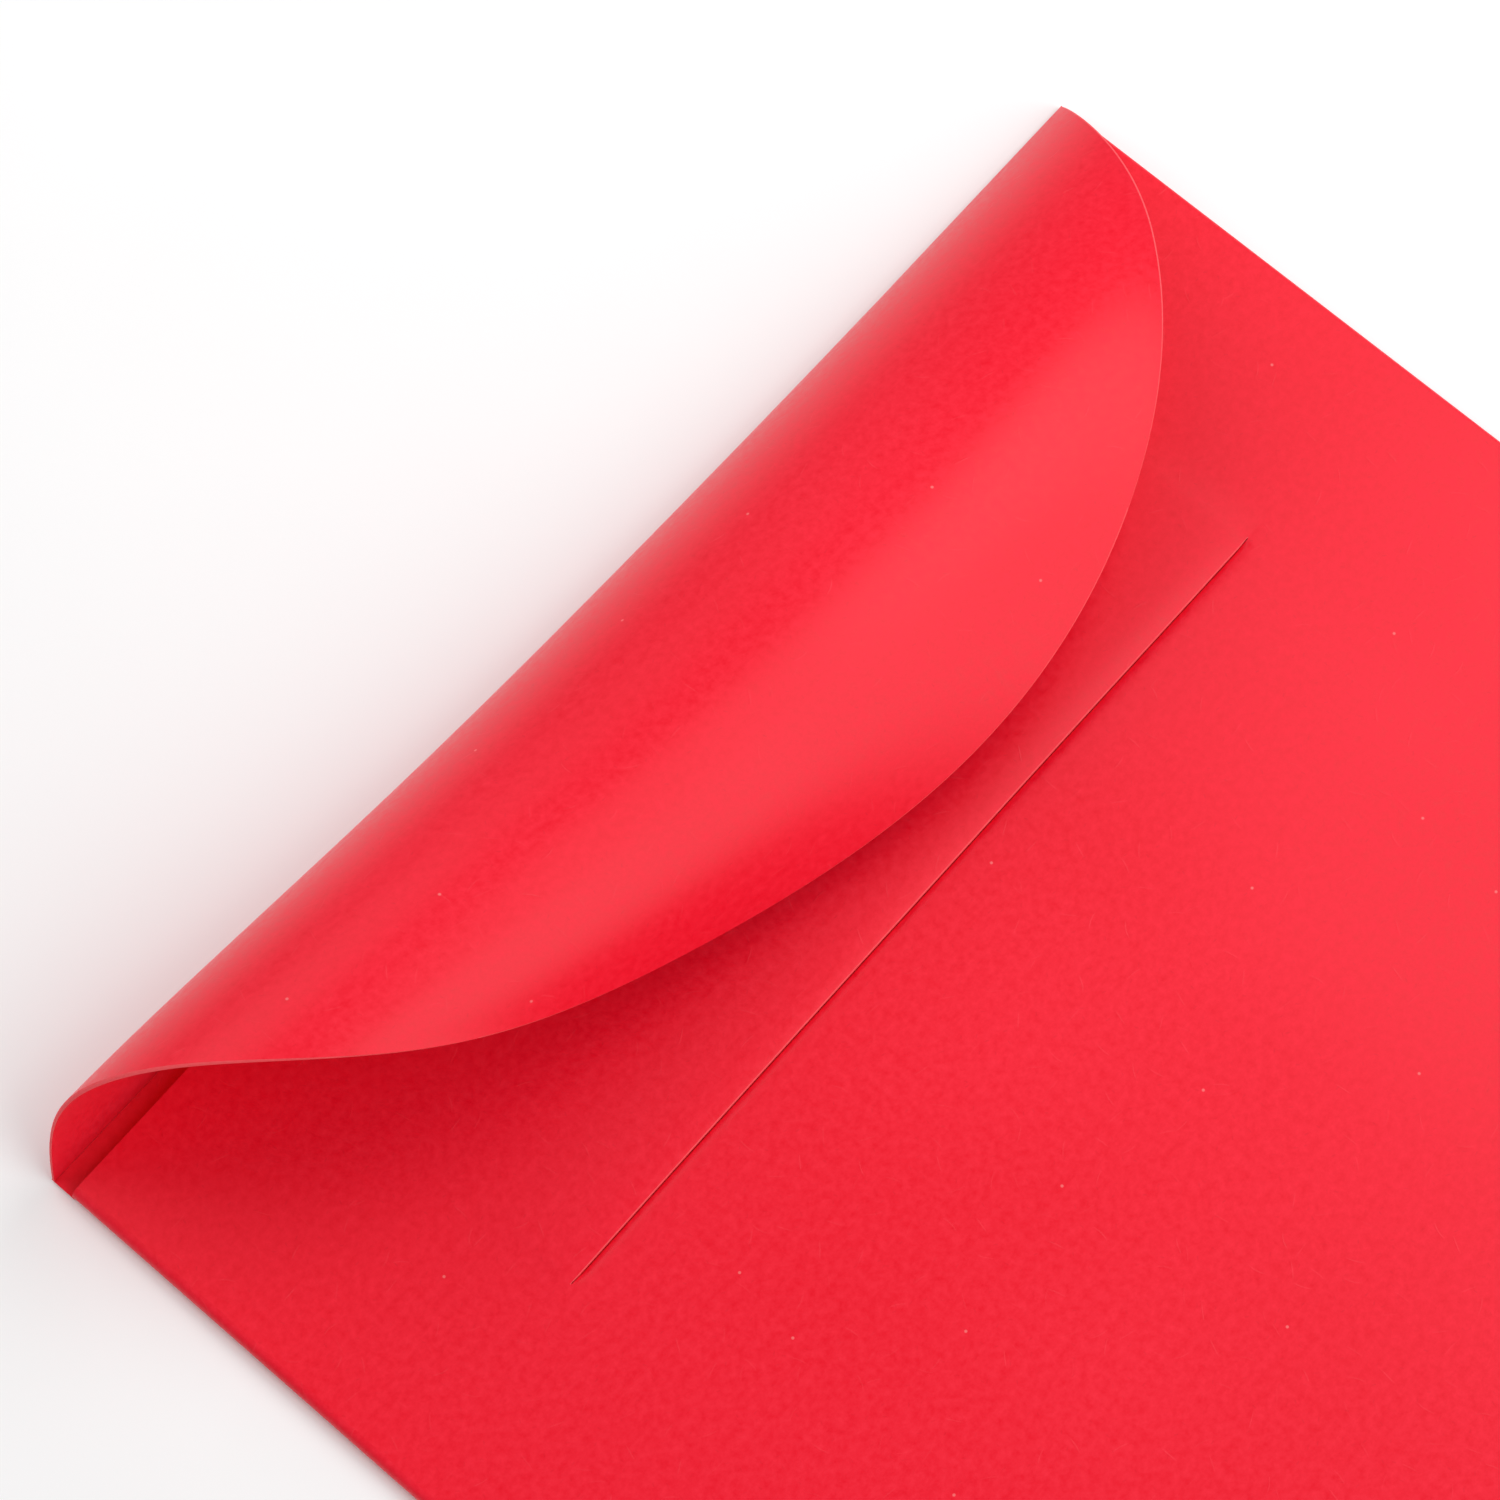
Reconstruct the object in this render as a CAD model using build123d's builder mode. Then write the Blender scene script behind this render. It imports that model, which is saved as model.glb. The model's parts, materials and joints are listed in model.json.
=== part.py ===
from build123d import *
from math import cos, radians, sin
import os

os.makedirs("parts", exist_ok=True)

# A paper money packet lies on its front face with the tuck slit up.
# X runs across it, +Y points to the flap and Z=0 is the surface that it lies on.
# Lengths are in millimetres and angles in degrees.

# Closed packet and its paper
packet_width = 90.0
packet_length = 170.0
paper = 0.25
pocket_gap = 0.4
glue_film = 0.06

# Back panel, with its free edges set back from the folds
mouth_setback = 1.5
back_side_inset = 0.4
back_bottom_inset = 0.3
slit_setback = 26.8
slit_length = 60.4
slit_width = 0.4

# Glue tabs on the front panel, folded in under the back panel
side_tab_width = 12.0
bottom_tab_width = 14.0
tab_taper = 4.0
mitre_clearance = 0.5
glue_margin = 2.0

# Flap: half an ellipse that curls over the mouth in straight bands
flap_length = 33.0
flap_band_names = [
    "flap_root",
    "flap_band_2",
    "flap_band_3",
    "flap_band_4",
    "flap_band_5",
    "flap_band_6",
    "flap_band_7",
    "flap_tip",
]
band_clearance = 0.02
root_rise_angle = 74.0
curl_angle = 17.0

# Levels of the layers, from the front panel up
tab_level = paper + pocket_gap
glue_level = tab_level + paper
back_level = glue_level + glue_film
packet_height = back_level + paper

# Each fold is half round, so its outer radius is half of what it joins
spine_radius = packet_height / 2
tab_fold_radius = glue_level / 2

# Flat extents between the folds
half_width = packet_width / 2
crease_y = packet_length / 2
flat_left = -half_width + spine_radius
flat_right = half_width - tab_fold_radius
flat_bottom = -crease_y + tab_fold_radius
flat_width = flat_right - flat_left
flat_middle = (flat_left + flat_right) / 2
mouth_y = crease_y - mouth_setback
side_length = mouth_y - flat_bottom

with BuildPart() as front_panel:
    with BuildSketch(Plane.XY):
        with Locations((flat_middle, flat_bottom)):
            Rectangle(
                flat_width,
                crease_y - band_clearance - flat_bottom,
                align=(Align.CENTER, Align.MIN),
            )
    extrude(amount=paper)
front_panel.part.label = "front_panel"
export_step(front_panel.part, "parts/front_panel.step")

# The back turns over from the left spine. It is one sheet with a tuck slit cut in it,
# and it is drawn as four plates that meet edge to edge and leave the slit open.
back_right = half_width - back_side_inset
back_bottom = -crease_y + back_bottom_inset
slit_end = slit_length / 2
slit_low = crease_y - slit_setback - slit_width / 2
slit_high = slit_low + slit_width

with BuildPart() as back_panel:
    with BuildSketch(Plane.XY.offset(back_level)):
        with Locations((flat_left, back_bottom)):
            Rectangle(
                back_right - flat_left,
                slit_low - back_bottom,
                align=(Align.MIN, Align.MIN),
            )
    extrude(amount=paper)
back_panel.part.label = "back_panel"
export_step(back_panel.part, "parts/back_panel.step")

with BuildPart() as slit_lip:
    with BuildSketch(Plane.XY.offset(back_level)):
        with Locations((0, slit_high)):
            Rectangle(slit_length, mouth_y - slit_high, align=(Align.CENTER, Align.MIN))
    extrude(amount=paper)
slit_lip.part.label = "slit_lip"
export_step(slit_lip.part, "parts/slit_lip.step")

with BuildPart() as left_shoulder:
    with BuildSketch(Plane.XY.offset(back_level)):
        with Locations((-slit_end, slit_low)):
            Rectangle(
                -slit_end - flat_left,
                mouth_y - slit_low,
                align=(Align.MAX, Align.MIN),
            )
    extrude(amount=paper)
left_shoulder.part.label = "left_shoulder"
export_step(left_shoulder.part, "parts/left_shoulder.step")

with BuildPart() as right_shoulder:
    with BuildSketch(Plane.XY.offset(back_level)):
        with Locations((slit_end, slit_low)):
            Rectangle(
                back_right - slit_end,
                mouth_y - slit_low,
                align=(Align.MIN, Align.MIN),
            )
    extrude(amount=paper)
right_shoulder.part.label = "right_shoulder"
export_step(right_shoulder.part, "parts/right_shoulder.step")

# Left spine: the fold that joins the two panels
left_plane = Plane(
    origin=(flat_left, flat_bottom, spine_radius), x_dir=(1, 0, 0), z_dir=(0, -1, 0)
)
with BuildPart() as left_spine:
    with BuildSketch(left_plane):
        Circle(spine_radius)
        Circle(spine_radius - paper, mode=Mode.SUBTRACT)
        Rectangle(
            spine_radius,
            packet_height,
            align=(Align.MAX, Align.CENTER),
            mode=Mode.INTERSECT,
        )
    extrude(amount=-side_length)
left_spine.part.label = "left_spine"
export_step(left_spine.part, "parts/left_spine.step")

# Right fold: turns the side tab in from the front panel
right_plane = Plane(
    origin=(flat_right, flat_bottom, tab_fold_radius), x_dir=(1, 0, 0), z_dir=(0, -1, 0)
)
with BuildPart() as right_fold:
    with BuildSketch(right_plane):
        Circle(tab_fold_radius)
        Circle(tab_fold_radius - paper, mode=Mode.SUBTRACT)
        Rectangle(
            tab_fold_radius,
            glue_level,
            align=(Align.MIN, Align.CENTER),
            mode=Mode.INTERSECT,
        )
    extrude(amount=-side_length)
right_fold.part.label = "right_fold"
export_step(right_fold.part, "parts/right_fold.step")

# Bottom fold: turns the bottom tab in from the front panel
bottom_plane = Plane(
    origin=(flat_left, flat_bottom, tab_fold_radius), x_dir=(0, 1, 0), z_dir=(1, 0, 0)
)
with BuildPart() as bottom_fold:
    with BuildSketch(bottom_plane):
        Circle(tab_fold_radius)
        Circle(tab_fold_radius - paper, mode=Mode.SUBTRACT)
        Rectangle(
            tab_fold_radius,
            glue_level,
            align=(Align.MAX, Align.CENTER),
            mode=Mode.INTERSECT,
        )
    extrude(amount=flat_width)
bottom_fold.part.label = "bottom_fold"
export_step(bottom_fold.part, "parts/bottom_fold.step")

# Side tab, cut to a mitre where it meets the bottom tab
side_tab_inner = flat_right - side_tab_width
with BuildPart() as side_tab:
    with BuildSketch(Plane.XY.offset(tab_level)):
        with BuildLine():
            Polyline(
                (flat_right, flat_bottom + mitre_clearance),
                (flat_right, mouth_y),
                (side_tab_inner, mouth_y - tab_taper),
                (side_tab_inner, flat_bottom + mitre_clearance + side_tab_width),
                close=True,
            )
        make_face()
    extrude(amount=paper)
side_tab.part.label = "side_tab"
export_step(side_tab.part, "parts/side_tab.step")

# Bottom tab, mitred on the right and tapered at the spine
bottom_tab_top = flat_bottom + bottom_tab_width
with BuildPart() as bottom_tab:
    with BuildSketch(Plane.XY.offset(tab_level)):
        with BuildLine():
            Polyline(
                (flat_left, flat_bottom),
                (flat_right - mitre_clearance, flat_bottom),
                (flat_right - mitre_clearance - bottom_tab_width, bottom_tab_top),
                (flat_left + tab_taper, bottom_tab_top),
                close=True,
            )
        make_face()
    extrude(amount=paper)
bottom_tab.part.label = "bottom_tab"
export_step(bottom_tab.part, "parts/bottom_tab.step")

# Glue films between the tabs and the back panel
side_glue_bottom = flat_bottom + side_tab_width + glue_margin
with BuildPart() as side_glue:
    with BuildSketch(Plane.XY.offset(glue_level)):
        with Locations((flat_right - glue_margin, side_glue_bottom)):
            Rectangle(
                side_tab_width - glue_margin - glue_margin,
                mouth_y - tab_taper - glue_margin - side_glue_bottom,
                align=(Align.MAX, Align.MIN),
            )
    extrude(amount=glue_film)
side_glue.part.label = "side_glue"
export_step(side_glue.part, "parts/side_glue.step")

bottom_glue_left = flat_left + tab_taper + glue_margin
bottom_glue_right = flat_right - bottom_tab_width - glue_margin
with BuildPart() as bottom_glue:
    with BuildSketch(Plane.XY.offset(glue_level)):
        with Locations((bottom_glue_left, flat_bottom + glue_margin)):
            Rectangle(
                bottom_glue_right - bottom_glue_left,
                bottom_tab_width - glue_margin - glue_margin,
                align=(Align.MIN, Align.MIN),
            )
    extrude(amount=glue_film)
bottom_glue.part.label = "bottom_glue"
export_step(bottom_glue.part, "parts/bottom_glue.step")

# Flap bands: each turns about its inner edge, so the row can curl and lie flat.
# A band's plane is its inner face, with its own Y along the paper from the crease.
band_length = flap_length / len(flap_band_names)
band_y = crease_y
band_z = paper
for index, name in enumerate(flap_band_names):
    rise = radians(root_rise_angle - index * curl_angle)
    inner_face = Plane(
        origin=(0, band_y, band_z), x_dir=(1, 0, 0), z_dir=(0, -sin(rise), -cos(rise))
    )
    with BuildPart() as band:
        with BuildSketch(inner_face):
            with Locations((0, -index * band_length)):
                Ellipse(half_width, flap_length)
            with Locations((0, band_length / 2)):
                Rectangle(packet_width, band_length - band_clearance, mode=Mode.INTERSECT)
        extrude(amount=-paper)
    band.part.label = name
    export_step(band.part, f"parts/{name}.step")
    band_y -= band_length * cos(rise)
    band_z += band_length * sin(rise)
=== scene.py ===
"""A red paper money packet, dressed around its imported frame.

Sizes are in metres. X runs across the packet, +Y points to the flap and Z is the height
above the surface that the packet lies on.
"""
import json
from math import cos, pi, radians, sin

import bmesh
import bpy
import numpy as np
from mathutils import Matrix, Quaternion, Vector


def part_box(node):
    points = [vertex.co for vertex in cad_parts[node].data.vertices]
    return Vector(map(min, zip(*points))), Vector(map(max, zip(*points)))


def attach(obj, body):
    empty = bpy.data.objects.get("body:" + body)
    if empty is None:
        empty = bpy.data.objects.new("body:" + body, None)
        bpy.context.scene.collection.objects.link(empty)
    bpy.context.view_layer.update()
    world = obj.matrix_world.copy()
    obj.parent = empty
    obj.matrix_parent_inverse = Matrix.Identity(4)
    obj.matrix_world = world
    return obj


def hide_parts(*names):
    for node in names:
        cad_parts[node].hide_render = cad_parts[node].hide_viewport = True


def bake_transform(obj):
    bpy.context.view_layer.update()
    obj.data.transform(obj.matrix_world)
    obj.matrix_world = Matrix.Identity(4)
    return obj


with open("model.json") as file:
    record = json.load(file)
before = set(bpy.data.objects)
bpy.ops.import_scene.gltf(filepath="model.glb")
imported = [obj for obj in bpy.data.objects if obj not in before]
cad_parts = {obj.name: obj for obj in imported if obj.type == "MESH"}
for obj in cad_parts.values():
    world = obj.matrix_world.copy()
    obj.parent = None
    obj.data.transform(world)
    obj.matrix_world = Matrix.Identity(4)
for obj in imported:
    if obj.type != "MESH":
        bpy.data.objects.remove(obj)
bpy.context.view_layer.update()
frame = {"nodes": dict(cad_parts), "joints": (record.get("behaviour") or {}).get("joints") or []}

mm = 0.001

# Places of the folded packet, read from the frame
front_low, front_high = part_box("front_panel")
back_low, back_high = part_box("back_panel")
lip_low, lip_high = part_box("slit_lip")
spine_low, spine_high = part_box("left_spine")
side_low, side_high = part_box("right_fold")
paper = front_high.z - front_low.z
mouth_y = lip_high.y
slit_half = lip_high.x
slit_y = (back_high.y + lip_low.y) / 2
flat_left = front_low.x
flat_right = front_high.x
flat_bottom = front_low.y
spine_radius = (spine_high.z - spine_low.z) / 2
tab_fold_radius = (side_high.z - side_low.z) / 2

# Places of the flap, read from its hinges
joints = frame["joints"]
hinges = [Vector(joint["pos_m"]) for joint in joints]
bands = [joint["child"] for joint in joints]
crease = hinges[0]
band_length = (hinges[1] - crease).length
flap_length = band_length * len(bands)
flap_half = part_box(bands[0])[1].x

# Flap at rest, at its left end, where its roll is even and at its right corner: the paper's
# rise at the crease, its mean bend along the paper, and the share of it that waits for the tip
rise_left = radians(100.0)
rise_even = radians(82.425)
rise_corner = radians(60.087)
bend_left = radians(6.888) / mm
bend_even = radians(4.372) / mm
delay_left = 0.801
even_x = 23.296 * mm
corner_x = -3.4 * mm
corner_power = 2.5

# Where the roll is even, the bend dies out over this share of the paper before its free edge
free_edge = 0.3

# Outline of the flap: half an ellipse has the power 2, and less than that slims its shoulders.
# Its sides also leave the crease at a slant, which dies out within the slant's reach.
flap_power = 1.75
flap_slant = 0.23
slant_reach = 15.0 * mm
bevel_width = 0.1 * mm
bevel_depth = 0.08 * mm

# Back panel: a slightly open pocket and the edges of the slit
pocket_bow = 0.45 * mm
ripple = 0.05 * mm
slit_gap = 0.015 * mm
slit_notch = 0.1 * mm
notch_reach = 0.3 * mm
lip_rise = 0.34 * mm
lip_reach = 6.0 * mm
lip_roll = 0.34 * mm
lip_roll_reach = 0.75 * mm
slit_press = 0.3 * mm
slit_press_reach = 0.2 * mm
slit_press_length = 1.0 * mm
# Width of the strip along the slit's upper edge in the lighter cut-edge finish: partly the cut's own
# colour, partly a painted highlight on the lip
lip_cut_and_highlight_width = 0.05 * mm

# Bow of the back panel: how soon it rises beside the spine and the seam and above the hem, and
# the lengths of its faint waves
bow_side_reach = 25.0 * mm
bow_hem_reach = 40.0 * mm
wave_across = 7.3 * mm
wave_along = 9.1 * mm
wave_aslant = 5.7 * mm
wave_shift = 0.8

# Mesh steps, with the back sheet's rows beside the slit and its columns near the slit's ends
flap_columns = 160
flap_rows = 9
arc_steps = 48
fold_steps = 12
corner_steps = 6
panel_step = 2.0 * mm
crease_steps = 8
slit_rows = np.array([0.0, 0.06, 0.12, 0.2, 0.3, 0.45, 0.6, 0.8, 1.0, 1.3, 1.6, 2.5, 4.0, 6.0]) * mm
slit_end_columns = np.array([0.15, 0.4, 0.9, 1.6]) * mm
normal_step = 0.01 * mm
sharp_edge = radians(35.0)
weld_distance = 1e-7


def smooth(t):
    """A step from 0 to 1 with level ends."""
    t = np.clip(t, 0.0, 1.0)
    return t * t * (3.0 - 2.0 * t)


def unsmooth(t):
    """Where smooth() has the value t."""
    return 0.5 - np.sin(np.arcsin(1.0 - 2.0 * t) / 3.0)


def mix(a, b, share):
    return a + (b - a) * share


# Colours, as linear red, green and blue
red_dark = (0.815, 0.0012, 0.016)
red_light = (0.935, 0.0138, 0.039)
pale_fibre_red = (1.0, 0.14, 0.17)
deep_fibre_red = (0.55, 0.004, 0.012)
fleck_pink = (1.0, 0.45, 0.42)
edge_dark = (0.90, 0.03, 0.05)
edge_light = (0.97, 0.12, 0.13)
glue_dark = (0.80, 0.74, 0.62)
glue_light = (0.93, 0.90, 0.84)
floor_dark = (0.94, 0.94, 0.94)
floor_light = (0.96, 0.96, 0.96)
sheen_pink = (1.0, 0.75, 0.75)

# Fibres and flecks of the paper: cells per metre, lengths, and how strongly they show
fibre_edge = 0.055 * mm
fibre_core = 0.02 * mm
fibre_bow = 0.35 / mm
pale_fibre_cells = 480.0
pale_fibre_half = 0.6 * mm
pale_fibre_share = 0.07
pale_fibre_shift = 0.3
deep_fibre_cells = 900.0
deep_fibre_half = 0.16 * mm
deep_fibre_share = 0.2
deep_fibre_shift = 0.7
fleck_cells = 105.0
fleck_edge = 0.012
fleck_core = 0.006
fleck_draw = 0.55
outer_fleck = 0.3
inner_fleck = 0.2

# Finish of the paper, its cut edge and the glue
cloud_share = 0.3
outer_roughness = 0.37
inner_roughness = 0.6
gloss_spread = 0.09
paper_tooth = 0.012 * mm
edge_tooth = 0.02 * mm
glue_relief = 0.03 * mm


# Materials


def new_material(name):
    """A material with its shader, and a function that adds nodes to it."""
    material = bpy.data.materials.new(name)
    material.use_nodes = True
    tree = material.node_tree
    shader = tree.nodes["Principled BSDF"]

    def add(kind, links=(), **values):
        node = tree.nodes.new("ShaderNode" + kind)
        for key, value in values.items():
            if key in node.inputs:
                node.inputs[key].default_value = value
            else:
                setattr(node, key, value)
        for socket, source in dict(links).items():
            tree.links.new(source, node.inputs[socket])
        return node

    def link(source, socket):
        tree.links.new(source, shader.inputs[socket])

    return material, shader, add, link


def between(add, share, dark, light):
    """A colour between two others."""
    node = add("Mix", {"Factor": share}, data_type="RGBA")
    node.inputs["A"].default_value = (*dark, 1.0)
    node.inputs["B"].default_value = (*light, 1.0)
    return node.outputs["Result"]


def laid_over(add, share, factor, under, colour):
    """A colour laid over another one, by a share times a factor."""
    strength = add("Math", {0: share}, operation="MULTIPLY")
    strength.inputs[1].default_value = factor
    node = add("Mix", {"Factor": strength.outputs[0], "A": under}, data_type="RGBA")
    node.inputs["B"].default_value = (*colour, 1.0)
    return node.outputs["Result"]


def add_fibres(add, place, cells_per_metre, shift, half_length):
    """One short, slightly bent fibre at a random angle in each cell of a random net."""
    moved = add("VectorMath", {0: place}, operation="ADD")
    moved.inputs[1].default_value = (shift, -shift, 0.0)
    net = add(
        "TexVoronoi",
        {"Vector": moved.outputs[0]},
        voronoi_dimensions="2D",
        Scale=cells_per_metre,
    )
    from_middle = {0: moved.outputs[0], 1: net.outputs["Position"]}
    offset = add("VectorMath", from_middle, operation="SUBTRACT")
    draw = add("SeparateColor", {"Color": net.outputs["Color"]})
    angle = add("MapRange", {"Value": draw.outputs[0]}, **{"To Max": 2.0 * pi})
    turned = add(
        "VectorRotate",
        {"Vector": offset.outputs[0], "Angle": angle.outputs[0]},
        rotation_type="Z_AXIS",
    )
    parts = add("SeparateXYZ", {"Vector": turned.outputs[0]})
    bow = add("MapRange", {"Value": draw.outputs[1]}, **{"To Min": -fibre_bow, "To Max": fibre_bow})
    square = add("Math", {0: parts.outputs[0], 1: parts.outputs[0]}, operation="MULTIPLY")
    curve = {0: square.outputs[0], 1: bow.outputs[0], 2: parts.outputs[1]}
    bent = add("Math", curve, operation="MULTIPLY_ADD")
    aside = add("Math", {0: bent.outputs[0]}, operation="ABSOLUTE")
    along = add("Math", {0: parts.outputs[0]}, operation="ABSOLUTE")
    sides = {"From Min": fibre_edge, "From Max": fibre_core}
    width = add("MapRange", {"Value": aside.outputs[0]}, **sides)
    ends = {"From Min": half_length, "From Max": half_length / 2}
    length = add("MapRange", {"Value": along.outputs[0]}, **ends)
    both = add("Math", {0: width.outputs[0], 1: length.outputs[0]}, operation="MULTIPLY")
    return add("Math", {0: both.outputs[0], 1: draw.outputs[2]}, operation="MULTIPLY").outputs[0]


def paper_material(name, roughness, fleck, space="UV"):
    """Dyed paper: soft mottling, short fibres, a few pale flecks and a fine tooth."""
    material, shader, add, link = new_material(name)
    place = add("TexCoord").outputs[space]

    cloud = add("TexNoise", {"Vector": place}, Scale=55.0, Detail=1.0, Roughness=0.4)
    mottle = add("TexNoise", {"Vector": place}, Scale=1700.0, Detail=4.0, Roughness=0.72)
    tone = add("Math", {0: cloud.outputs["Fac"], 2: mottle.outputs["Fac"]}, operation="MULTIPLY_ADD")
    tone.inputs[1].default_value = cloud_share
    shade = add("MapRange", {"Value": tone.outputs[0]}, **{"From Min": 0.37, "From Max": 0.93})
    base = between(add, shade.outputs[0], red_dark, red_light)

    pale_fibres = add_fibres(add, place, pale_fibre_cells, pale_fibre_shift, pale_fibre_half)
    deep_fibres = add_fibres(add, place, deep_fibre_cells, deep_fibre_shift, deep_fibre_half)
    paled = laid_over(add, pale_fibres, pale_fibre_share, base, pale_fibre_red)
    fibred = laid_over(add, deep_fibres, deep_fibre_share, paled, deep_fibre_red)

    # Pale flecks, in some cells only
    cells = add("TexVoronoi", {"Vector": place}, voronoi_dimensions="2D", Scale=fleck_cells)
    rim = {"From Min": fleck_edge, "From Max": fleck_core}
    dot = add("MapRange", {"Value": cells.outputs["Distance"]}, **rim)
    draw = add("SeparateColor", {"Color": cells.outputs["Color"]})
    chosen = add("Math", {0: draw.outputs[0]}, operation="GREATER_THAN")
    chosen.inputs[1].default_value = fleck_draw
    spot = add("Math", {0: dot.outputs[0], 1: chosen.outputs[0]}, operation="MULTIPLY")
    link(laid_over(add, spot.outputs[0], fleck, fibred, fleck_pink), "Base Color")

    gloss = add("MapRange", {"Value": mottle.outputs["Fac"]}, **{"From Min": 0.3, "From Max": 0.7})
    gloss.inputs["To Min"].default_value = roughness - gloss_spread
    gloss.inputs["To Max"].default_value = roughness + gloss_spread
    link(gloss.outputs[0], "Roughness")

    tooth = add("TexNoise", {"Vector": place}, Scale=3600.0, Detail=3.0, Roughness=0.6)
    height = add("Math", {0: tooth.outputs["Fac"], 1: pale_fibres}, operation="ADD")
    bump = add("Bump", {"Height": height.outputs[0]}, Strength=0.35, Distance=paper_tooth)
    link(bump.outputs[0], "Normal")
    shader.inputs["Specular IOR Level"].default_value = 0.25
    shader.inputs["Sheen Weight"].default_value = 0.04
    shader.inputs["Sheen Roughness"].default_value = 0.35
    shader.inputs["Sheen Tint"].default_value = (*sheen_pink, 1.0)
    return material


def edge_material():
    """The cut edge, where the paper's core shows a little lighter; beside the slit the same finish
    is partly a painted highlight on the lip.
    """
    material, shader, add, link = new_material("cut_edge")
    place = add("TexCoord").outputs["Object"]
    strand = add("TexNoise", {"Vector": place}, Scale=5200.0, Detail=4.0, Roughness=0.65)
    link(between(add, strand.outputs["Fac"], edge_dark, edge_light), "Base Color")
    bump = add("Bump", {"Height": strand.outputs["Fac"]}, Strength=0.4, Distance=edge_tooth)
    link(bump.outputs[0], "Normal")
    shader.inputs["Roughness"].default_value = 0.75
    return material


def glue_material():
    """A dried film of white glue, cloudy and slightly uneven."""
    material, _, add, link = new_material("dried_glue")
    place = add("TexCoord").outputs["Object"]
    cloud = add("TexNoise", {"Vector": place}, Scale=320.0, Detail=3.0)
    link(between(add, cloud.outputs["Fac"], glue_dark, glue_light), "Base Color")
    gloss = add("MapRange", {"Value": cloud.outputs["Fac"]})
    gloss.inputs["To Min"].default_value = 0.3
    gloss.inputs["To Max"].default_value = 0.55
    link(gloss.outputs[0], "Roughness")
    bump = add("Bump", {"Height": cloud.outputs["Fac"]}, Strength=0.4, Distance=glue_relief)
    link(bump.outputs[0], "Normal")
    return material


outer_paper = paper_material("outer_paper", outer_roughness, outer_fleck)
inner_paper = paper_material("inner_paper", inner_roughness, inner_fleck)
tab_paper = paper_material("tab_paper", inner_roughness, inner_fleck, "Object")
cut_edge = edge_material()
dried_glue = glue_material()
sheet_materials = (inner_paper, outer_paper, cut_edge)
INNER, OUTER, RIM = range(3)


# Sheets of paper as closed meshes


def grid_faces(rows, columns, keep=None):
    """Quads between the points of a grid that is counted row by row."""
    faces = []
    for row in range(rows - 1):
        for column in range(columns - 1):
            if keep is None or keep[row, column]:
                first = row * columns + column
                faces.append((first, first + 1, first + columns + 1, first + columns))
    return faces


def paper_sheet(name, flat, inner, outer, faces, bevel=None):
    """A sheet with its two sides and a rim round every open edge. flat is its unfolded place.

    bevel marks the points whose faces belong to the cut edge on the outer side; beside the slit that
    lighter strip is partly a painted highlight.
    """
    sides = np.hstack([inner, outer])
    keys = np.round(sides / weld_distance).astype(np.int64)
    _, first, index = np.unique(keys, axis=0, return_index=True, return_inverse=True)
    index = index.reshape(-1)
    flat, inner, outer = flat[first], inner[first], outer[first]
    cut = np.zeros(len(first), bool) if bevel is None else bevel[first]
    count = len(first)
    front = []
    for face in faces:
        corners = tuple(dict.fromkeys(int(index[corner]) for corner in face))
        if len(corners) > 2:
            front.append(corners)
    edges = {pair for face in front for pair in zip(face, face[1:] + face[:1])}
    open_edges = sorted(pair for pair in edges if pair[::-1] not in edges)
    behind = [tuple(corner + count for corner in reversed(face)) for face in front]
    rim = [(b, a, a + count, b + count) for a, b in open_edges]

    mesh = bpy.data.meshes.new(name)
    mesh.from_pydata(np.concatenate([inner, outer]).tolist(), [], front + behind + rim)
    kinds = [INNER] * len(front)
    kinds += [RIM if any(cut[corner] for corner in face) else OUTER for face in front]
    kinds += [RIM] * len(rim)
    mesh.polygons.foreach_set("material_index", kinds)
    mesh.polygons.foreach_set("use_smooth", [True] * len(kinds))
    for material in sheet_materials:
        mesh.materials.append(material)
    build = bmesh.new()
    build.from_mesh(mesh)
    bmesh.ops.recalc_face_normals(build, faces=build.faces)
    build.to_mesh(mesh)
    build.free()
    mesh.set_sharp_from_angle(angle=sharp_edge)

    corner_points = np.empty(len(mesh.loops), np.int32)
    mesh.loops.foreach_get("vertex_index", corner_points)
    unfolded = mesh.uv_layers.new(name="unfolded")
    unfolded.uv.foreach_set("vector", flat[corner_points % count].astype(np.float32).ravel())
    piece = bpy.data.objects.new(name, mesh)
    bpy.context.scene.collection.objects.link(piece)
    return piece


def points_of(piece):
    points = np.empty(len(piece.data.vertices) * 3)
    piece.data.vertices.foreach_get("co", points)
    return points.reshape(-1, 3)


def bend_to(piece, points, normals):
    """Moves a flat piece to its resting shape and shades it with the true surface's normals."""
    mesh = piece.data
    mesh.vertices.foreach_set("co", points.astype(np.float32).ravel())
    mesh.update()
    corner_points = np.empty(len(mesh.loops), np.int32)
    mesh.loops.foreach_get("vertex_index", corner_points)
    kinds = np.empty(len(mesh.polygons), np.int32)
    sizes = np.empty(len(mesh.polygons), np.int32)
    mesh.polygons.foreach_get("material_index", kinds)
    mesh.polygons.foreach_get("loop_total", sizes)
    # The rim's corners get zero vectors, which leave them their own normals
    facing = np.array([-1.0, 1.0, 0.0])[np.repeat(kinds, sizes)]
    mesh.normals_split_custom_set((normals[corner_points] * facing[:, None]).tolist())


def steps_between(low, high, step):
    return np.linspace(low, high, max(2, int(round((high - low) / step)) + 1))


# Front sheet: flat on the surface, a little wider where the flap joins it


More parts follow.
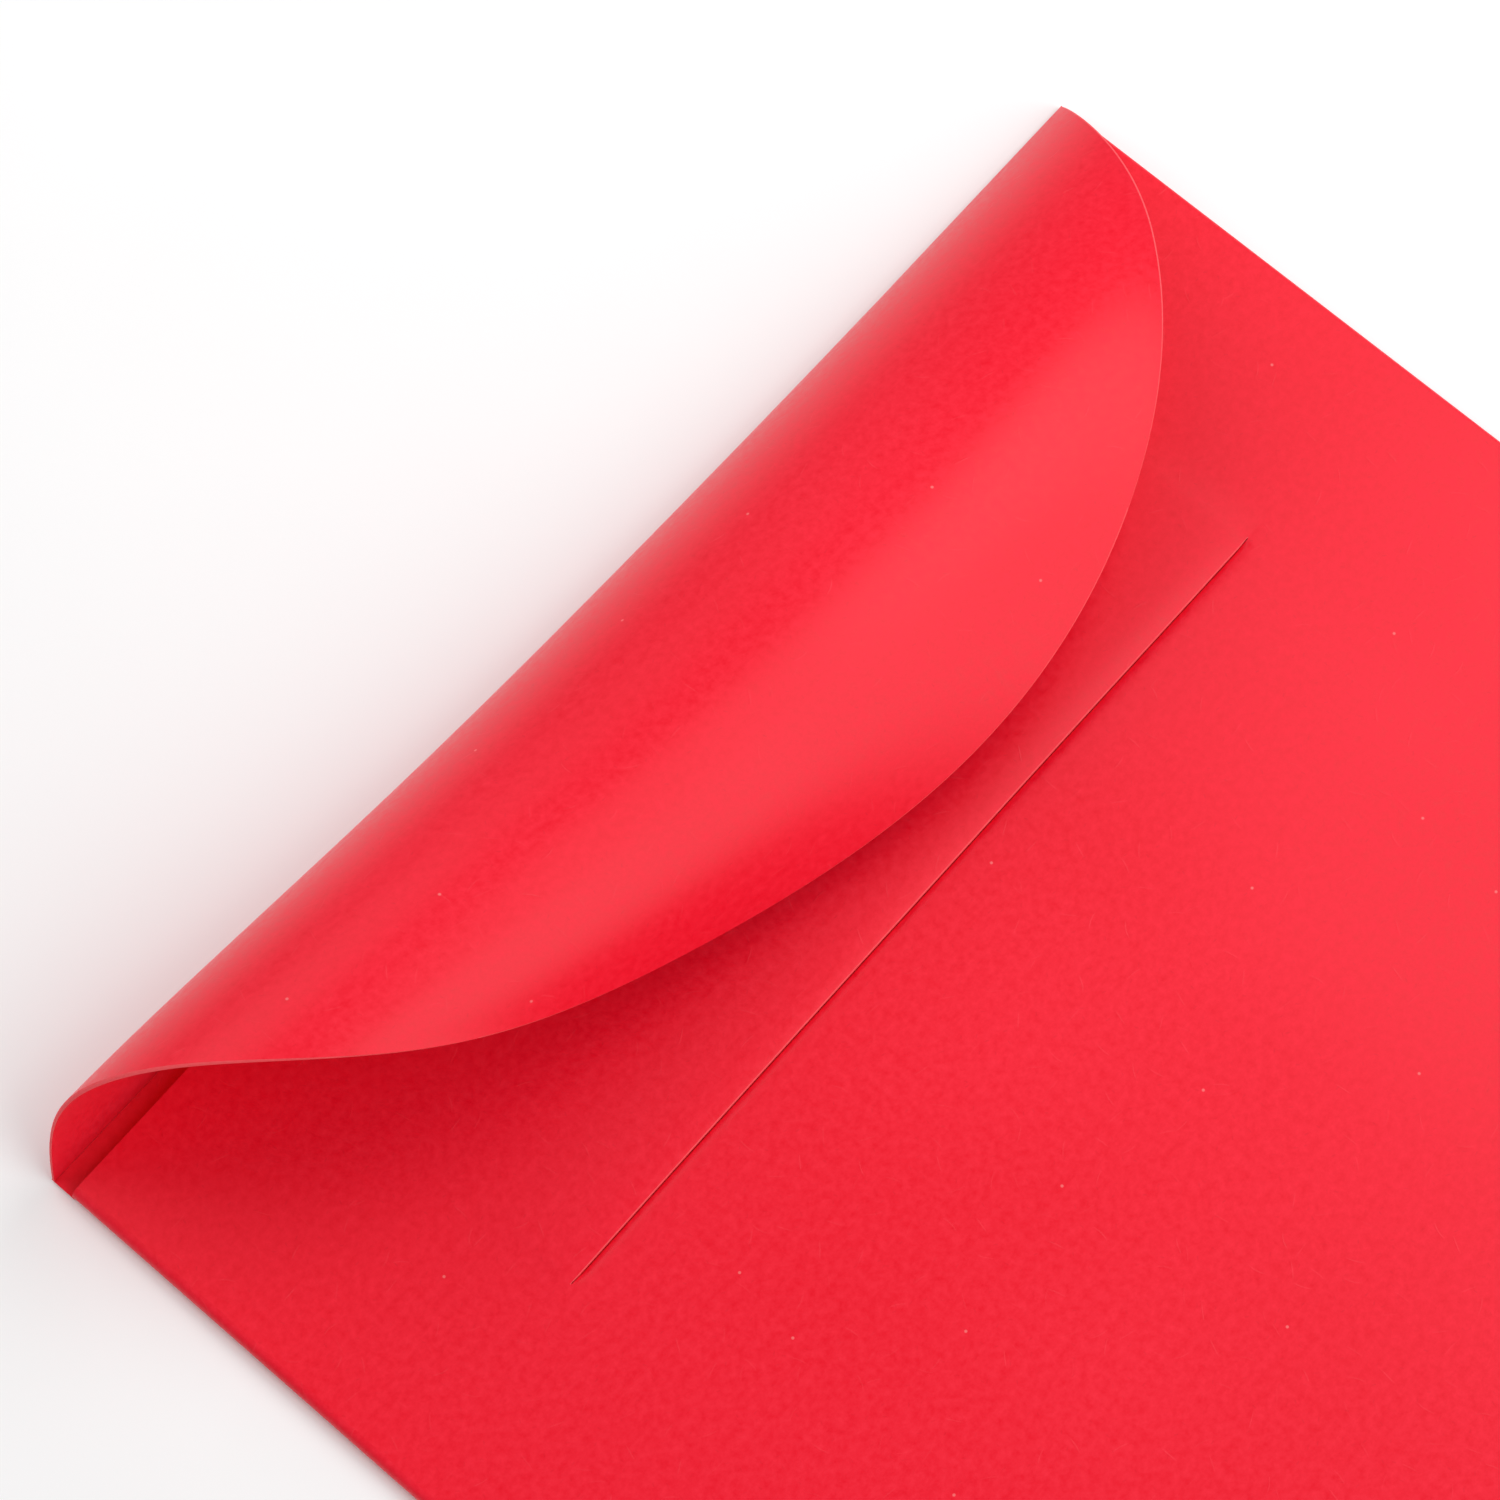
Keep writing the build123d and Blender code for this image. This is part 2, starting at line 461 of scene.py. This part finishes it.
def make_front_sheet():
    across = np.concatenate(
        [[-flap_half], steps_between(flat_left, flat_right, panel_step), [flap_half]]
    )
    along = np.append(steps_between(flat_bottom, mouth_y, panel_step), front_high.y)
    x, y = np.meshgrid(across, along)
    flat = np.stack([x, y], axis=-1).reshape(-1, 2)
    keep = np.ones((len(along) - 1, len(across) - 1), bool)
    keep[:-1, 0] = False
    keep[:-1, -1] = False
    level = np.zeros((len(flat), 1))
    inner = np.hstack([flat, level + front_high.z])
    outer = np.hstack([flat, level + front_low.z])
    faces = grid_faces(len(along), len(across), keep)
    piece = paper_sheet("front_sheet", flat, inner, outer, faces)
    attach(piece, "packet")
    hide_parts("front_panel")


# Back sheet: bowed a little over the open pocket, with the tuck slit cut in it


def back_bow(x, y):
    """How far the back sheet stands off its glued level."""
    glued_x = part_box("side_tab")[0].x
    glued_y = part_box("bottom_tab")[1].y
    from_spine = smooth((x - flat_left) / bow_side_reach)
    from_seam = smooth((glued_x - x) / bow_side_reach)
    from_hem = smooth((y - glued_y) / bow_hem_reach)
    crossed = np.sin(x / wave_across + wave_shift) * np.sin(y / wave_along)
    wave = crossed + np.sin((x + y) / wave_aslant)
    return from_spine * from_seam * from_hem * (pocket_bow + ripple * wave)


def make_back_sheet():
    clear = slit_rows[-1] + panel_step
    lower = steps_between(back_low.y, slit_y - clear, panel_step)
    higher = steps_between(slit_y + clear, mouth_y, panel_step)
    below = np.concatenate([lower, slit_y - slit_rows[::-1]])
    above = np.concatenate([slit_y + slit_rows, higher])
    along = np.concatenate([below, above])
    across = np.concatenate(
        [
            steps_between(flat_left, -slit_half, panel_step),
            -slit_half + slit_end_columns,
            steps_between(-slit_half + panel_step, slit_half - panel_step, panel_step),
            slit_half - slit_end_columns[::-1],
            steps_between(slit_half, back_high.x, panel_step),
        ]
    )
    x, y = np.meshgrid(across, along)
    from_end = slit_half - np.abs(x)
    half_gap = mix(slit_gap, slit_notch, np.exp(-np.abs(from_end) / notch_reach)) / 2
    half_gap = np.where(from_end > weld_distance, half_gap, 0.0)
    upper = np.arange(len(along))[:, None] >= len(below)
    on_edge = np.abs(y - slit_y) < weld_distance
    y = np.where(on_edge, slit_y + np.where(upper, half_gap, -half_gap), y)
    keep = np.ones((len(along) - 1, len(across) - 1), bool)
    keep[len(below) - 1, :] = False

    # The flap side of the slit stands up a little, and both of its cut edges are pressed down
    beside = np.abs(y - slit_y)
    length_share = np.sqrt(np.clip(1 - (x / slit_half) ** 2, 0, 1))
    lift = lip_rise * np.exp(-beside / lip_reach) - lip_roll * np.exp(-beside / lip_roll_reach)
    press = slit_press * np.exp(-beside / slit_press_reach) * smooth(from_end / slit_press_length)
    z = back_low.z + back_bow(x, y) + np.where(upper, lift * length_share, -press)
    flat = np.stack([x, y], axis=-1).reshape(-1, 2)
    inner = np.hstack([flat, z.reshape(-1, 1)])
    outer = inner + np.array((0.0, 0.0, paper))
    unfolded = flat + (2 * flap_half, 0)
    # A thin strip along the slit's upper edge takes the lighter cut-edge finish: partly the cut's
    # own colour, partly a painted highlight on the lip
    lip_cut_and_highlight_points = (upper & (beside < lip_cut_and_highlight_width) & (from_end > weld_distance)).reshape(-1)
    faces = grid_faces(len(along), len(across), keep)
    piece = paper_sheet("back_sheet", unfolded, inner, outer, faces, lip_cut_and_highlight_points)
    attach(piece, "packet")
    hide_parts("back_panel", "slit_lip", "left_shoulder", "right_shoulder")


# Folds round the sides and the bottom


def make_fold(name, node, stations):
    """A half-round fold through stations of (centre x, centre y, outward angle, radius)."""
    turn = np.linspace(-pi / 2, pi / 2, fold_steps + 1)
    inner, outer, flat = [], [], []
    run = 0.0
    last = None
    for x, y, heading, radius in stations:
        out = np.array([cos(heading), sin(heading)])
        edge = np.array([x, y]) + out * radius
        run += 0.0 if last is None else float(np.linalg.norm(edge - last))
        last = edge
        for side, size in ((outer, radius), (inner, radius - paper)):
            for angle in turn:
                place = np.array([x, y]) + out * size * cos(angle)
                side.append((*place, radius + size * sin(angle)))
        flat.extend((radius * angle, run) for angle in turn)
    faces = grid_faces(len(stations), len(turn))
    piece = paper_sheet(name, np.array(flat), np.array(inner), np.array(outer), faces)
    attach(piece, "packet")
    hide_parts(node)


def make_folds():
    sides = steps_between(flat_bottom, mouth_y, panel_step)
    make_fold("spine_fold", "left_spine", [(flat_left, y, pi, spine_radius) for y in sides])
    make_fold("side_fold", "right_fold", [(flat_right, y, 0.0, tab_fold_radius) for y in sides])
    stations = []
    for step in range(corner_steps + 1):
        share = step / corner_steps
        radius = mix(spine_radius, tab_fold_radius, share)
        stations.append((flat_left, flat_bottom, pi + share * pi / 2, radius))
    for x in steps_between(flat_left, flat_right, panel_step)[1:]:
        stations.append((x, flat_bottom, 1.5 * pi, tab_fold_radius))
    for step in range(1, corner_steps + 1):
        turn = step / corner_steps * pi / 2
        stations.append((flat_right, flat_bottom, 1.5 * pi + turn, tab_fold_radius))
    make_fold("hem_fold", "bottom_fold", stations)


# Flap: one tongue of paper, in pieces that bend from band to band


def flap_angle(x, along):
    """The paper's angle above the panel at a point of the flap."""
    share = smooth((x + flap_half) / (even_x + flap_half))
    corner = np.clip((x - corner_x) / (flap_half - corner_x), 0.0, 1.0) ** corner_power
    rise = mix(mix(rise_left, rise_even, share), rise_corner, corner)
    bend = mix(bend_left, bend_even, share)
    delay = mix(delay_left, 0.0, share)
    fade = np.maximum(free_edge * share * flap_reach(x), weld_distance)
    into_fade = np.clip((along - flap_reach(x)) / fade + 1.0, 0.0, 1.0)
    bent = along - fade * into_fade**2 / 2
    return rise - bend * bent * (1.0 + delay * (bent / flap_length - 1.0))


def flap_surface(x, along, depth):
    """Where a point of the flap lies at rest, at a depth below the flap's inner face."""
    steps = (np.arange(arc_steps) + 0.5) / arc_steps
    angles = flap_angle(x[:, None], along[:, None] * steps)
    end = flap_angle(x, along)
    y = crease.y - along * np.cos(angles).mean(axis=1) + depth * np.sin(end)
    z = crease.z + along * np.sin(angles).mean(axis=1) + depth * np.cos(end)
    return np.stack([x, y, z], axis=1)


def flap_normals(x, along):
    """Normals of the flap's outer side."""
    step = normal_step
    level = np.zeros_like(x)
    onward = flap_surface(x, along + step, level) - flap_surface(x, along - step, level)
    across = flap_surface(x + step, along, level) - flap_surface(x - step, along, level)
    normals = np.cross(onward, across)
    return normals / np.linalg.norm(normals, axis=1, keepdims=True)


def flap_edge(along):
    """Half of the flap's width at a distance from the crease."""
    oval = flap_half * np.sqrt(np.clip(1.0 - (along / flap_length) ** flap_power, 0.0, 1.0))
    return oval - flap_slant * along * np.clip(1.0 - along / slant_reach, 0.0, 1.0) ** 2


def flap_reach(x):
    """How far the flap goes from the crease, beyond the slant's reach."""
    return flap_length * np.clip(1.0 - (x / flap_half) ** 2, 0.0, 1.0) ** (1.0 / flap_power)


def spread(along, middle, curve):
    """Moves the points between the middles of two bands by a curve that runs from 0 to 1."""
    share = (along - middle) / band_length
    inside = (share > 0.0) & (share < 1.0)
    return np.where(inside, middle + band_length * curve(np.clip(share, 0.0, 1.0)), along)


def make_flap():
    middles = [(number + 0.5) * band_length for number in range(len(bands))]
    steps = np.sin(np.linspace(-pi / 2, pi / 2, flap_columns + 1))
    last = len(bands) - 2
    for number in range(last + 1):
        low = 0.0 if number == 0 else middles[number]
        high = middles[number + 1]
        share = np.linspace(0.0, 1.0, flap_rows + 1)[:, None]
        if number < last:
            along = mix(low, high, share)
            edge = flap_edge(along)
            x = np.hstack([-edge, steps * (edge - bevel_width), edge])
            along = np.broadcast_to(along, x.shape)
            bevel = np.broadcast_to(np.arange(x.shape[1]) % (x.shape[1] - 1) == 0, x.shape)
        else:
            x = steps[None, :] * flap_edge(low)
            reach = flap_reach(x) - low
            along = low + np.vstack([share * np.maximum(reach - bevel_width, 0.0), reach])
            x = np.broadcast_to(x, along.shape)
            bevel = np.broadcast_to(np.arange(len(x))[:, None] == len(x) - 1, x.shape)
        flat = np.stack([x, crease.y + along], axis=-1).reshape(-1, 2)
        bevel = bevel.reshape(-1)
        shared = crease.y + spread(along, middles[number], unsmooth)
        open_flat = np.stack([x, shared], axis=-1).reshape(-1, 2)
        level = np.full((len(flat), 1), crease.z)
        inner = np.hstack([open_flat, level])
        outer = np.hstack([open_flat, level - paper + bevel_depth * bevel[:, None]])
        name = f"flap_sheet_{number + 1}"
        piece = paper_sheet(name, flat, inner, outer, grid_faces(*x.shape), bevel)

        # The bend is shared out evenly while the paper lies flat and open, then the paper is rolled
        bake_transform(piece)
        points = points_of(piece)
        x = points[:, 0]
        along = spread(points[:, 1] - crease.y, middles[number], smooth)
        depth = crease.z - points[:, 2]
        bend_to(piece, flap_surface(x, along, depth), flap_normals(x, along))
        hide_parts(bands[number])
    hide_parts(bands[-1])


# Crease: the outside of the fold between the front sheet and the flap


def make_crease():
    x = flap_half * np.sin(np.linspace(-pi / 2, pi / 2, flap_columns + 1))
    share = np.linspace(0.0, 1.0, crease_steps + 1)
    places = unsmooth(share) * paper
    flat = np.array([(column, crease.y + place) for place in places for column in x])
    level = np.full((len(flat), 1), crease.z)
    inner = np.hstack([flat, level])
    outer = np.hstack([flat, level - paper])
    piece = paper_sheet("crease_fold", flat, inner, outer, grid_faces(len(share), len(x)))
    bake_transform(piece)
    points = points_of(piece)
    x = points[:, 0]
    turn = smooth((points[:, 1] - crease.y) / paper) * (pi - flap_angle(x, np.zeros_like(x)))
    depth = crease.z - points[:, 2]
    outward = np.stack([np.zeros_like(x), np.sin(turn), -np.cos(turn)], axis=1)
    axis = np.stack([x, np.full_like(x, crease.y), np.full_like(x, crease.z)], axis=1)
    bend_to(piece, axis + outward * depth[:, None], outward)


# Inner pieces keep their own shapes


def dress_inner_pieces():
    finishes = {
        "side_tab": tab_paper,
        "bottom_tab": tab_paper,
        "side_glue": dried_glue,
        "bottom_glue": dried_glue,
    }
    for node, material in finishes.items():
        materials = frame["nodes"][node].data.materials
        materials.clear()
        materials.append(material)


# Studio
floor_half = 3.0
floor_level = -0.05 * mm
world_strength = 0.38
lens_clearance = 0.01


def make_floor():
    mesh = bpy.data.meshes.new("floor")
    corners = ((-1, -1), (1, -1), (1, 1), (-1, 1))
    points = [(floor_half * x, floor_half * y, floor_level) for x, y in corners]
    mesh.from_pydata(points, [], [(0, 1, 2, 3)])
    material, shader, add, link = new_material("pale_floor")
    place = add("TexCoord").outputs["Object"]
    grain = add("TexNoise", {"Vector": place}, Scale=60.0, Detail=2.0)
    link(between(add, grain.outputs["Fac"], floor_dark, floor_light), "Base Color")
    shader.inputs["Roughness"].default_value = 0.9
    shader.inputs["Specular IOR Level"].default_value = 0.1
    mesh.materials.append(material)
    floor = bpy.data.objects.new("floor", mesh)
    bpy.context.scene.collection.objects.link(floor)


def direction(azimuth, elevation):
    """Towards a place seen at these angles, with azimuth 0 at -Y and 90 at +X."""
    a, e = radians(azimuth), radians(elevation)
    return Vector((sin(a) * cos(e), -cos(a) * cos(e), sin(e)))


def make_light(name, azimuth, elevation, distance, size, power):
    light = bpy.data.lights.new(name, "AREA")
    light.shape = "DISK"
    light.size = size
    light.energy = power
    lamp = bpy.data.objects.new(name, light)
    towards = direction(azimuth, elevation)
    lamp.location = view_target + towards * distance
    lamp.rotation_mode = "QUATERNION"
    lamp.rotation_quaternion = towards.to_track_quat("Z", "Y")
    bpy.context.scene.collection.objects.link(lamp)


# Camera, matched to the photograph
view_target = Vector((0.755, 71.809, 1.21)) * mm
view_azimuth = -44.594
view_elevation = 70.507
view_distance = 323.518 * mm
view_roll = radians(-4.364)
view_lens = 132.0


def make_camera():
    camera = bpy.data.objects.new("camera", bpy.data.cameras.new("camera"))
    back = direction(view_azimuth, view_elevation)
    camera.location = view_target + back * view_distance
    camera.rotation_mode = "QUATERNION"
    upright = (-back).to_track_quat("-Z", "Y")
    camera.rotation_quaternion = upright @ Quaternion((0.0, 0.0, 1.0), view_roll)
    camera.data.lens = view_lens
    camera.data.clip_start = lens_clearance
    bpy.context.scene.collection.objects.link(camera)
    bpy.context.scene.camera = camera


def make_studio():
    make_floor()
    make_light("side", azimuth=76.0, elevation=53.0, distance=0.25, size=0.17, power=0.22)
    make_light("front", azimuth=16.0, elevation=44.0, distance=1.0, size=0.8, power=3.55)
    make_light("back", azimuth=184.0, elevation=44.0, distance=0.38, size=0.36, power=0.48)
    make_light("low", azimuth=14.0, elevation=14.0, distance=0.9, size=0.4, power=0.8)
    world = bpy.data.worlds.new("studio")
    world.use_nodes = True
    background = world.node_tree.nodes["Background"]
    background.inputs["Color"].default_value = (1.0, 1.0, 1.0, 1.0)
    background.inputs["Strength"].default_value = world_strength
    bpy.context.scene.world = world
    bpy.context.scene.view_settings.view_transform = "Standard"
    make_camera()


make_front_sheet()
make_back_sheet()
make_folds()
make_crease()
make_flap()
dress_inner_pieces()
make_studio()

bpy.context.view_layer.update()
